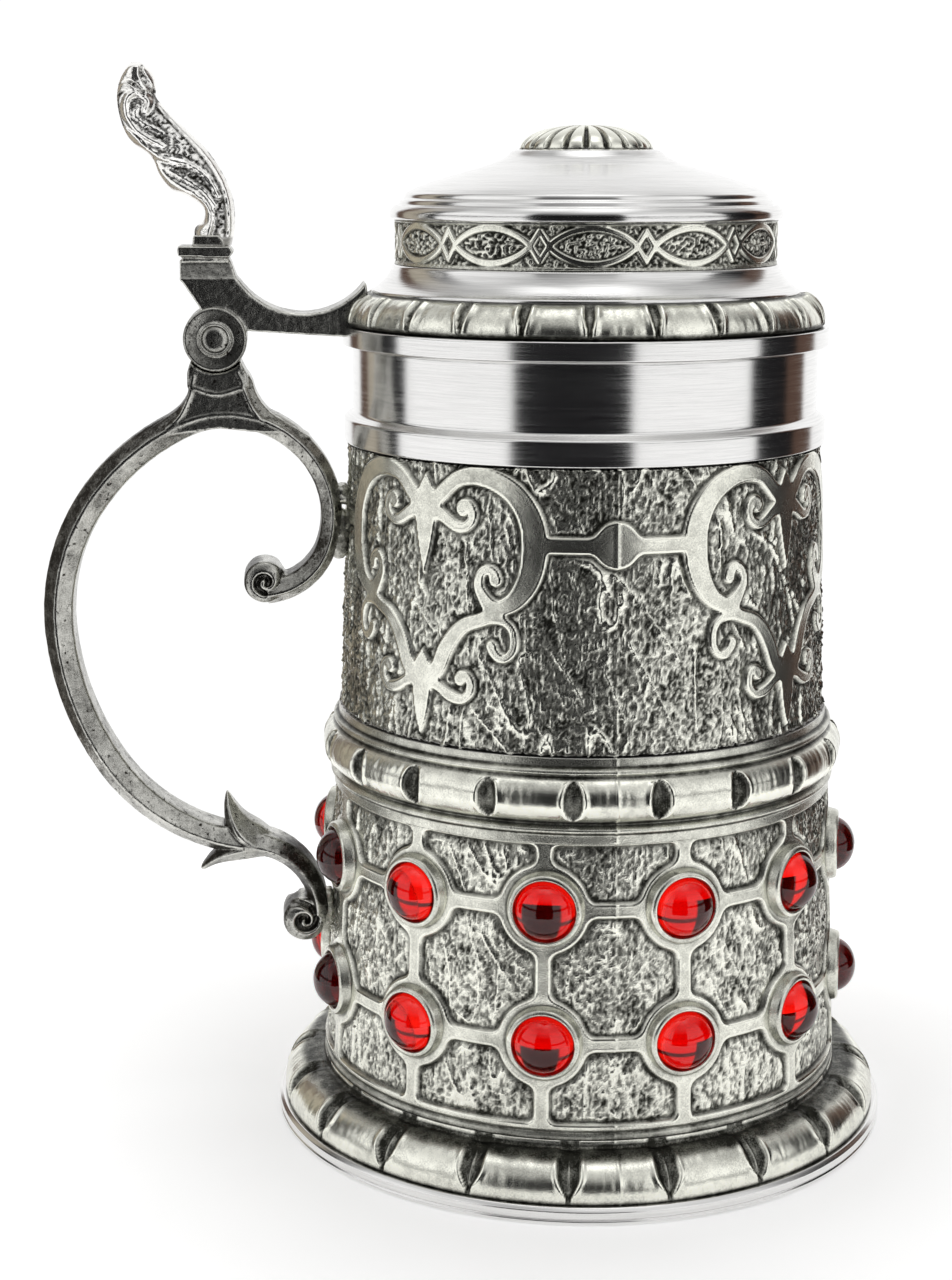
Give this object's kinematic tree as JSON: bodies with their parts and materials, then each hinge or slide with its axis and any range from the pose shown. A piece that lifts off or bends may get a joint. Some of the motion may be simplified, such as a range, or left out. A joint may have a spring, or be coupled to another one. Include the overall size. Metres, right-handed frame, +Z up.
{
  "type": "lidded pewter tankard",
  "caption": "Footed pewter beer tankard with a hinged domed lid and thumbpiece, a C-scroll handle, cast relief bands and two rows of red glass cabochons.",
  "frame": {"origin": "centre of the foot's resting ring, on the table plane and on the vessel's turning axis", "axes": "+Z up along the vessel's axis; -X towards the handle; -Y is the vessel's front; the hinge axis runs along Y"},
  "size_m": [0.147, 0.1084, 0.1822],
  "materials": {
    "antiqued_pewter": "cast relief, dark patina in the recesses, highlights rubbed bright",
    "polished_pewter": "turned and polished, fine circumferential brush lines",
    "solder": "satin",
    "cabochon_glass": "clear polished red glass, domed"
  },
  "bodies": {
    "vessel": {"belt_ring": "antiqued_pewter", "floor_disc": "polished_pewter", "foot_plate": "polished_pewter", "foot_ring": "antiqued_pewter", "gem_lower_01": "cabochon_glass", "gem_lower_02": "cabochon_glass", "gem_lower_03": "cabochon_glass", "gem_lower_04": "cabochon_glass", "gem_lower_05": "cabochon_glass", "gem_lower_06": "cabochon_glass", "gem_lower_07": "cabochon_glass", "gem_lower_08": "cabochon_glass", "gem_lower_09": "cabochon_glass", "gem_lower_10": "cabochon_glass", "gem_lower_11": "cabochon_glass", "gem_lower_12": "cabochon_glass", "gem_upper_01": "cabochon_glass", "gem_upper_02": "cabochon_glass", "gem_upper_03": "cabochon_glass", "gem_upper_04": "cabochon_glass", "gem_upper_05": "cabochon_glass", "gem_upper_06": "cabochon_glass", "gem_upper_07": "cabochon_glass", "gem_upper_08": "cabochon_glass", "gem_upper_09": "cabochon_glass", "gem_upper_10": "cabochon_glass", "gem_upper_11": "cabochon_glass", "gem_upper_12": "cabochon_glass", "handle": "antiqued_pewter", "hinge_pin": "polished_pewter", "lip_collar": "polished_pewter", "lower_barrel": "antiqued_pewter", "lower_lug": "solder", "shoulder_lug": "solder", "upper_barrel": "antiqued_pewter", "upper_lug": "solder"},
    "lid": {"lid_rim": "polished_pewter", "lid_gadroon_ring": "antiqued_pewter", "lid_flare": "polished_pewter", "frieze_band": "antiqued_pewter", "lid_cap": "polished_pewter", "finial": "antiqued_pewter", "lid_arm": "antiqued_pewter", "thumbpiece": "antiqued_pewter"}
  },
  "joints": [
    {"name": "lid_hinge", "type": "hinge", "parent": "vessel", "child": "lid", "pos_m": [-0.0625, 0, 0.1373], "axis": [0, -1, 0], "range_deg": [0, 105]}
  ]
}
